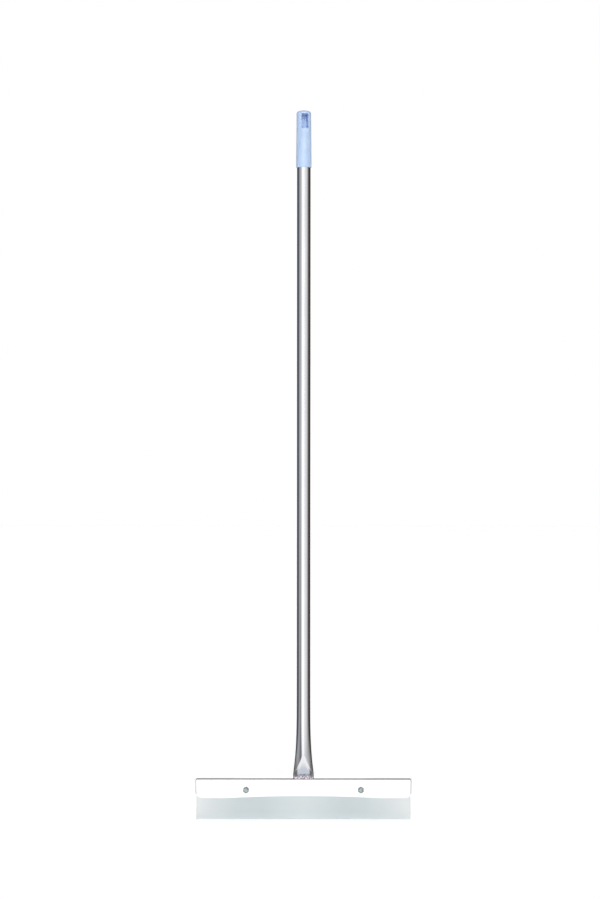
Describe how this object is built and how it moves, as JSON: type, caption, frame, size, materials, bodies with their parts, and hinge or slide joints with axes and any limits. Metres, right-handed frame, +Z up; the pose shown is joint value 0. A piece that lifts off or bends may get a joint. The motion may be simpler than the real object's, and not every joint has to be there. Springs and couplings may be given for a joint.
{
  "type": "window cleaning squeegee",
  "caption": "Long-handled window squeegee: steel tube pressed flat and welded to a folded steel channel that clamps a straight silicone blade, with a plastic grip and hanging pocket.",
  "frame": {"origin": "middle of the blade's working edge, which is the middle of the underside of the bounding box", "axes": "+Z up the handle, +X along the blade, -Y towards the side with the bolt heads"},
  "size_m": [0.402, 0.0288, 1.3207],
  "materials": {
    "polished_stainless_tube": "polished welded stainless tube, near mirror with fine lengthwise polishing lines",
    "mirror_stainless_sheet": "bright-annealed stainless sheet, almost white, with soft waviness",
    "weld_metal": "rippled weld bead with straw and violet heat tint",
    "milky_silicone": "milky grey-green silicone, satin, slightly translucent",
    "zinc_plated_steel": "zinc plated, faintly greenish passivated",
    "pale_blue_plastic": "pale blue moulded polyethylene, satin gloss"
  },
  "bodies": {
    "squeegee": {"handle_tube": "polished_stainless_tube", "hand_grip": "pale_blue_plastic", "blade_channel": "mirror_stainless_sheet", "weld_bead_front": "weld_metal", "weld_bead_rear": "weld_metal", "blade_strip": "milky_silicone", "clamp_bolt_left": "zinc_plated_steel", "clamp_bolt_right": "zinc_plated_steel", "flat_washer_left": "zinc_plated_steel", "flat_washer_right": "zinc_plated_steel", "spring_washer_left": "zinc_plated_steel", "spring_washer_right": "zinc_plated_steel", "clamp_nut_left": "zinc_plated_steel", "clamp_nut_right": "zinc_plated_steel"},
    "lip": {"blade_lip": "milky_silicone"}
  },
  "joints": [
    {"name": "blade_flex", "type": "hinge", "parent": "squeegee", "child": "lip", "pos_m": [0, 0, 0.03775], "axis": [1, 0, 0], "range_deg": [-30, 30], "stiffness_Nm_per_rad": 0.9}
  ]
}
